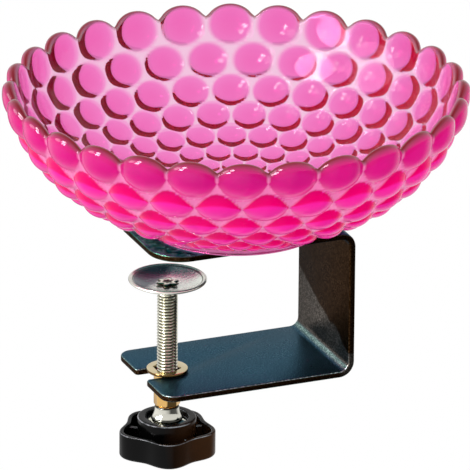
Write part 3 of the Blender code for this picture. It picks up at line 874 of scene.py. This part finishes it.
def buildPad(p, x, finish):
    top, floor = p["rim"], p["rim"] - p["depth"]
    rise = p["depth"] - p["thickness"]
    reach = p["radius"] - 1.1 * mm - p["boss"]
    under = [(p["hole"], floor), (p["boss"], floor)]
    over = [(p["hole"], floor + p["thickness"]), (p["boss"] * 0.92, floor + p["thickness"])]
    for i in range(1, 15):
        share = i / 14
        under.append((p["boss"] + (reach + 0.5 * mm) * share, floor + rise * share * share * 0.97))
        over.append((p["boss"] + reach * share, floor + p["thickness"] + (rise - 0.25 * mm) * share * share))
    lip = arc((p["radius"] - 0.62 * mm, top - 0.62 * mm), 0.62 * mm, -60, 150, 10)
    profile = under + lip + over[::-1]
    return placedPiece("dishedPad", roundTable(profile, 128), x, finish, "pad", "pressure_pad", "zinc")


nutSizes = {
    "flangeTop": -52.5 * mm,
    "flangeBottom": -53.7 * mm,
    "flangeRadius": 8 * mm,
    "bodyFlats": 9.5 * mm,
    "bottom": -67.6 * mm,
    "recessFlats": 8.8 * mm,
    "recessDepth": 3 * mm,
    "bore": 4.3 * mm,
}


def brassFinish(n):  # the flange's upright side has a painted dark reflection; the body below it is more amber
    finish = metalFinish("turnedBrass", (0.88, 0.74, 0.46), 0.14, scale=1500)
    tree, shader, plain = reopened(finish)
    z = objectPlace(tree)[2]
    high = n["flangeBottom"] - 0.2 * mm
    # painted dark reflection on the flange's upright side
    edge = facing(tree)[2].spread(0.75, 0.45) * z.spread(high - 0.1 * mm, high)
    colour = mixColours(z.spread(high, high - 0.3 * mm), plain, (0.82, 0.50, 0.17))
    link(mixColours(edge, colour, (0.16, 0.09, 0.03)), shader.inputs["Base Color"])
    return finish


def buildNut(n, x, finish):
    body = gon(n["bodyFlats"], 8, 0.06 * mm)
    recess = gon(n["recessFlats"], 6)
    low, top, base = n["flangeBottom"], n["flangeTop"], n["bottom"]

    def less(shape, cut):
        return lambda angles: shape(angles) - cut

    profile = [
        (n["bore"] + 0.3 * mm, base),
        (less(body, 0.5 * mm), base),
        (less(body, 0.1 * mm), base + 0.25 * mm),
        (body, base + 0.6 * mm),
        (body, low - 1.0 * mm),
        (less(body, 0.35 * mm), low - 0.8 * mm),
        (less(body, 0.35 * mm), low),
        (n["flangeRadius"] - 0.3 * mm, low),
        (n["flangeRadius"], low + 0.3 * mm),
        (n["flangeRadius"], top - 0.45 * mm),
        (n["flangeRadius"] - 0.15 * mm, top - 0.12 * mm),
        (n["flangeRadius"] - 0.5 * mm, top),
        (lambda angles: recess(angles) + 0.45 * mm, top),
        (recess, top - 0.4 * mm),
        (recess, top - n["recessDepth"]),
        (n["bore"], top - n["recessDepth"]),
        (n["bore"], base + 0.3 * mm),
    ]
    return placedPiece("insertNut", roundTable(profile, 96), x, finish, "nut", "insert_nut", "brass", smooth=28)


collarSizes = {
    "top": -67.9 * mm,
    "height": 5.6 * mm,
    "topRadius": 4.7 * mm,
    "bottomRadius": 6.1 * mm,
    "bore": 4.3 * mm,
}


def collarFinish(c):  # bright steel, with painted dark reflections at its two ends
    finish = metalFinish("collarSteel", (0.90, 0.88, 0.78), 0.10, scratch=0.04)
    tree, shader, plain = reopened(finish)
    z = objectPlace(tree)[2]
    low = c["top"] - c["height"]
    # painted dark reflections at the foot and at the top
    foot = z.spread(low + 1.5 * mm, low + 1.1 * mm)
    head = z.spread(c["top"] - 0.7 * mm, c["top"] - 0.4 * mm)
    darkReflection = calc(tree, "MAXIMUM", foot, head)
    link(mixColours(darkReflection, plain, (0.07, 0.07, 0.06)), shader.inputs["Base Color"])
    return finish


def buildCollar(c, x, finish):
    bottom = c["top"] - c["height"]
    profile = [(c["bore"], bottom), (c["bottomRadius"] - 0.3 * mm, bottom)]
    profile += [(c["bottomRadius"], bottom + 0.25 * mm), (c["bottomRadius"], bottom + 0.6 * mm)]
    for i in range(1, 17):
        share = i / 16
        z = bottom + 0.6 * mm + (c["height"] - 1.1 * mm) * share
        profile.append((c["topRadius"] + (c["bottomRadius"] - c["topRadius"]) * (1 - share) ** 2.2, z))
    profile += [(c["topRadius"] - 0.15 * mm, c["top"] - 0.15 * mm), (c["topRadius"] - 0.35 * mm, c["top"])]
    profile += [(c["bore"], c["top"])]
    labels = (finish, "screw", "cone_collar", "bright_steel")
    return placedPiece("flaredCollar", roundTable(profile, 96), x, *labels)


brass = brassFinish(nutSizes)
chrome = metalFinish("brightSteel", (0.88, 0.86, 0.76), 0.10, scratch=0.04)
buildPad(padSizes, screwSizes["x"], padFinish(screwSizes["x"], padSizes["radius"]))
buildNut(nutSizes, screwSizes["x"], brass)
buildCollar(collarSizes, screwSizes["x"], collarFinish(collarSizes))
print("pad, nut and collar turned")


# Star knob: thin five-lobed skirt, hub with a recess, ribs
knobSizes = {
    "bottom": -87.2 * mm,
    "skirt": 10.2 * mm,
    "radius": 19 * mm,
    "waist": 3 * mm,
    "lobes": 5,
    "firstLobe": math.radians(-108),
    "wall": 1.7 * mm,
    "floor": 2 * mm,
    "edge": 1.3 * mm,
    "lip": 0.5 * mm,
    "corner": 1 * mm,
    "hubRadius": 11.3 * mm,
    "hubTop": -72.6 * mm,
    "recessRadius": 8.3 * mm,
    "recessFloor": -73.8 * mm,
    "socketFlats": 13.6 * mm,
    "socketFloor": -79.4 * mm,
    "ribThickness": 1.5 * mm,
    "ribDrop": 1.5 * mm,
}


def knobFinish():  # black, with a painted brown reflection on one side and painted highlights on the edges of the other
    finish, tree, shader = newFinish("blackPlastic", Roughness=0.10, Specular_IOR_Level=0.12, Metallic=0.0)
    wide = noiseOn(tree, 45, 2.0)
    fine = noiseOn(tree, 700, 3.0)
    x, y, _ = objectPlace(tree)
    # painted brown reflection on one side
    brownReflection = x - y * 0.45 + wide * 0.02
    colour = mixColours(brownReflection.spread(-0.015, 0.003), (0.001, 0.001, 0.001), (0.042, 0.017, 0.006))
    outX, outY, outZ = facing(tree)
    # painted highlights on the upper edges of one side, broken up by noise
    edgeHighlight = abs(outZ - 0.62).spread(0.34, 0.12) * (outX + outY * 0.6).spread(0.05, -0.25)
    edgeHighlight = edgeHighlight * noiseOn(tree, 330, 3.0).spread(0.40, 0.58, 0.25, 1.0)
    link(mixColours(edgeHighlight, colour, (0.34, 0.36, 0.38)), shader.inputs["Base Color"])
    link(fine.spread(0.3, 0.7, 0.08, 0.20), shader.inputs["Roughness"])
    bumpFrom(shader, fine + wide * 3.0, 0.06, 0.0002)
    return finish


def buildKnob(k, x, finish):
    def lobed(inset):
        return lambda a: k["radius"] - inset - k["waist"] / 2 * (1 - np.cos(k["lobes"] * (a - k["firstLobe"])))

    base, rim = k["bottom"], k["bottom"] + k["skirt"]
    floor = base + k["floor"]
    profile = [(lobed(k["radius"] * 0.7), base)]
    lip, corner = k["lip"], k["corner"]
    edges = arc((-k["edge"], base + k["edge"]), k["edge"], -90, 0, 8)
    edges += arc((-lip, rim - lip), lip, 0, 90, 4) + arc((-k["wall"] + lip, rim - lip), lip, 90, 180, 4)
    profile += [(lobed(-r), z) for r, z in edges]
    edges = arc((-k["wall"] - corner, floor + corner), corner, 0, -90, 5)
    profile += [(lobed(-r + 0.1 * mm), z) for r, z in edges]
    profile.append((lobed(k["radius"] * 0.7), floor))
    shell = roundTable(profile, 240, closed=False)
    socket = gon(k["socketFlats"], 6)
    hub = [(k["hubRadius"] + 0.3 * mm, floor - 0.6 * mm), (k["hubRadius"] + 0.3 * mm, floor + 0.2 * mm)]
    hub += [(k["hubRadius"], floor + 1 * mm)]
    hub += arc((k["hubRadius"] - 0.7 * mm, k["hubTop"] - 0.7 * mm), 0.7 * mm, 0, 90, 6)
    hub += arc((k["recessRadius"] + 0.4 * mm, k["hubTop"] - 0.4 * mm), 0.4 * mm, 90, 180, 4)
    hub += [(k["recessRadius"], k["recessFloor"]), (socket, k["recessFloor"]), (socket, k["socketFloor"])]
    parts = [shell, roundTable(hub, 96, closed=False)]
    top = rim - k["ribDrop"]
    for i in range(k["lobes"]):
        half = k["ribThickness"] / 2
        soft = 0.3 * mm
        section = [(-half, floor - 0.5 * mm), (half, floor - 0.5 * mm), (half, top - soft), (half - soft, top)]
        section += [(-half + soft, top), (-half, top - soft)]
        start, end = k["hubRadius"] - 0.6 * mm, k["radius"] - k["waist"] - k["wall"] / 2
        points = np.array([(r, y, z) for r in (start, end) for y, z in section])
        a = k["firstLobe"] + math.tau * (i + 0.5) / k["lobes"]
        spin = np.array([[math.cos(a), -math.sin(a), 0], [math.sin(a), math.cos(a), 0], [0, 0, 1]])
        count = len(section)
        faces = [(j, (j + 1) % count, count + (j + 1) % count, count + j) for j in range(count)]
        faces += [tuple(reversed(range(count))), tuple(range(count, 2 * count))]
        parts.append((points @ spin.T, faces))
    labels = (finish, "screw", "star_knob", "black_plastic")
    return placedPiece("starKnob", joined(parts), x, *labels, smooth=35)


buildKnob(knobSizes, screwSizes["x"], knobFinish())
print("knob moulded")


# What holds the bowl on the jaw
fixingSizes = {
    "bore": 2.8 * mm,
    "gasket": (20 * mm, 2.8 * mm, 4.3 * mm),  # radius, bottom, top
    "seal": (7 * mm, 7.7 * mm, 9.2 * mm),
    "washer": (7.5 * mm, 9.5 * mm, 10.5 * mm),
    "nutFlats": 8 * mm,
    "nutBottom": 10.8 * mm,
    "nutShoulder": 14.8 * mm,
    "nutTop": 17.8 * mm,
    "headRadius": 4.6 * mm,
    "headEdge": 0.3 * mm,
    "shank": 2.5 * mm,
    "shankTop": 15.9 * mm,
    "socketFlats": 3 * mm,
}


def rubberFinish():
    finish, tree, shader = newFinish("rubber", Base_Color=(0.03, 0.03, 0.03), Roughness=0.7)
    grain = noiseOn(tree, 1200, 2.0)
    link(grain.spread(0.3, 0.7, 0.6, 0.85), shader.inputs["Roughness"])
    bumpFrom(shader, grain, 0.2, 0.0001)
    return finish


def buildFixing(f, rubber, steel, plate):
    for name, node, key, finish, slot, bend in (
        ("footGasket", "foot_gasket", "gasket", rubber, "rubber", 0.4 * mm),
        ("bowlSeal", "bowl_seal", "seal", rubber, "rubber", 0.5 * mm),
        ("bowlWasher", "bowl_washer", "washer", steel, "bright_steel", 0.25 * mm),
    ):
        radius, bottom, top = f[key]
        profile = [(f["bore"], bottom)] + arc((radius - bend, bottom + bend), bend, -90, 0, 5)
        profile += arc((radius - bend, top - bend), bend, 0, 90, 5) + [(f["bore"], top)]
        placedPiece(name, roundTable(profile, 96), 0, finish, "frame", node, slot)
    hexagon = gon(f["nutFlats"], 6)
    dome = f["nutFlats"] * 0.47
    rise = f["nutTop"] - f["nutShoulder"]
    profile = [(f["bore"], f["nutShoulder"] + 1.2 * mm), (f["bore"], f["nutBottom"])]
    profile += [(f["nutFlats"] * 0.48, f["nutBottom"]), (hexagon, f["nutBottom"] + 0.35 * mm)]
    profile += [(hexagon, f["nutShoulder"] - 0.35 * mm), (dome + 0.1 * mm, f["nutShoulder"])]
    for i in range(1, 12):
        climb = math.pi / 2 * i / 12
        profile.append((dome * math.cos(climb), f["nutShoulder"] + rise * math.sin(climb)))
    profile.append((0.12 * mm, f["nutTop"]))
    table = roundTable(profile, 72, closed=False)
    placedPiece("capNut", table, 0, steel, "frame", "bowl_cap_nut", "bright_steel")
    socket = gon(f["socketFlats"], 6)
    profile = [(socket, 2.2 * mm), (socket, 0.0), (f["headRadius"] - 0.05 * mm, 0.0)]
    profile += [(f["headRadius"], 0.1 * mm), (f["headRadius"], f["headEdge"])]
    profile += [(f["shank"], f["headEdge"] + f["headRadius"] - f["shank"])]
    profile += [(f["shank"], f["shankTop"] - 0.8 * mm), (f["shank"] * 0.65, f["shankTop"])]
    table = roundTable(profile, 72, closed=False)
    placedPiece("bowlScrew", table, 0, plate, "frame", "bowl_screw", "zinc")


buildFixing(fixingSizes, rubberFinish(), chrome, zinc)
print("fixing made")


# Studio: pale floor far below, white ground for camera, glass and gloss, soft lamps
studioSizes = {"floor": -0.6, "reach": 30.0, "fill": 1.3, "shadowShare": 0.03, "underGlow": 0.94}
glossFloor = (  # how bright gloss sees the floor, by the turn from the camera side
    (0.0, 0.9), (0.08, 0.15), (0.13, 0.9), (0.18, 0.95), (0.45, 0.9),
    (0.54, 0.6), (0.60, 0.08), (0.76, 0.12), (0.84, 0.8),
)


def floorFinish(share, glow, levels):
    finish, tree, shader = newFinish("paleFloor", Base_Color=(0.9, 0.9, 0.9), Roughness=0.8)
    white = tree.nodes.new("ShaderNodeEmission")
    mix = tree.nodes.new("ShaderNodeMixShader")
    path = tree.nodes.new("ShaderNodeLightPath").outputs
    rays = ("Camera", "Glossy", "Transmission")
    camera, gloss, through = (Number(tree, path[f"Is {ray} Ray"]) for ray in rays)
    x, y, _ = objectPlace(tree)
    turn = calc(tree, "ARCTAN2", y, x) / math.tau
    turn = calc(tree, "FRACT", turn + (1.0 + 112.6 / 360 + 0.5))  # 0.5 towards the camera
    level = rampOn(turn, [(place, (value, value, value)) for place, value in levels])
    bright = calc(tree, "MAXIMUM", gloss * Number(tree, level), through * glow)
    seen = calc(tree, "MAXIMUM", camera * (1 - share), bright)
    unlit = calc(tree, "MAXIMUM", seen, gloss)
    link(unlit, mix.inputs[0])
    link(seen / calc(tree, "MAXIMUM", unlit, 0.001), white.inputs["Strength"])
    link(shader.outputs[0], mix.inputs[1])
    link(white.outputs[0], mix.inputs[2])
    link(mix.outputs[0], tree.nodes["Material Output"].inputs["Surface"])
    return finish


def buildStudio(s):
    r, z = s["reach"], s["floor"]
    corners = [(-r, -r, z), (r, -r, z), (r, r, z), (-r, r, z)]
    floor = newObject("floor", meshFrom("floor", corners, [(0, 1, 2, 3)]))
    floor.data.materials.append(floorFinish(s["shadowShare"], s["underGlow"], glossFloor))
    world = bpy.context.scene.world or bpy.data.worlds.new("studio")
    bpy.context.scene.world = world
    world.use_nodes = True
    tree = world.node_tree
    tree.nodes.clear()
    path = tree.nodes.new("ShaderNodeLightPath")
    seen = calc(tree, "MAXIMUM", path.outputs["Is Camera Ray"], path.outputs["Is Glossy Ray"])
    seen = calc(tree, "MAXIMUM", seen, path.outputs["Is Transmission Ray"])
    ground = tree.nodes.new("ShaderNodeBackground")
    link(seen.spread(0.0, 1.0, s["fill"], 1.0), ground.inputs["Strength"])
    out = tree.nodes.new("ShaderNodeOutputWorld")
    link(ground.outputs[0], out.inputs[0])


def addLamp(name, place, target, size, power, glossOnly=False):
    data = bpy.data.lights.new(name, "AREA")
    data.shape = "DISK"
    data.size = size
    data.energy = power
    lamp = newObject(name, data)
    lamp.location = place
    lamp.rotation_euler = (Vector(target) - Vector(place)).to_track_quat("-Z", "Y").to_euler()
    lamp.visible_diffuse = not glossOnly
    return lamp


buildStudio(studioSizes)
addLamp("keyLamp", (-1.50, 0.44, 0.70), (0, 0, 0), 0.9, 10)
addLamp("windowLamp", (-1.60, -0.39, 0.42), (0, 0, 0), 0.6, 26, glossOnly=True)
addLamp("shoulderLamp", (-1.29, -0.35, 1.15), (0, 0, 0), 0.6, 22, glossOnly=True)
print("studio lit")


# Camera, long lens, a little above the bowl
cameraSizes = {
    "azimuth": math.radians(-22.6),
    "elevation": math.radians(21.8),
    "distance": 3.5,
    "focus": 9200,  # in pixels of a 470 pixel frame
    "frame": 470,
    "target": (0, 0, -0.010),
    "targetPixel": (235, 253.8),
    "roll": math.radians(0.5),
}


def buildCamera(c):
    a, e = c["azimuth"], c["elevation"]
    back = Vector((math.sin(a) * math.cos(e), -math.cos(a) * math.cos(e), math.sin(e)))
    place = Vector(c["target"]) + back * c["distance"]
    right = (-back).cross(Vector((0, 0, 1))).normalized()
    up = right.cross(-back)
    turnedRight = right * math.cos(c["roll"]) + up * math.sin(c["roll"])
    turnedUp = up * math.cos(c["roll"]) - right * math.sin(c["roll"])
    acrossBy, upBy = ((pixel - c["frame"] / 2) / c["focus"] * c["distance"] for pixel in c["targetPixel"])
    aim = Vector(c["target"]) - turnedRight * acrossBy + turnedUp * upBy
    look = (aim - place).normalized()
    side = look.cross(turnedUp).normalized()
    lift = side.cross(look)
    data = bpy.data.cameras.new("camera")
    data.sensor_width = 36
    data.lens = c["focus"] / c["frame"] * data.sensor_width
    data.clip_start = 0.1
    data.clip_end = 100
    camera = newObject("camera", data)
    turning = Matrix((side, lift, -look)).transposed()
    camera.matrix_world = Matrix.Translation(place) @ turning.to_4x4()
    bpy.context.scene.camera = camera


buildCamera(cameraSizes)
bpy.context.scene.view_settings.view_transform = "Standard"
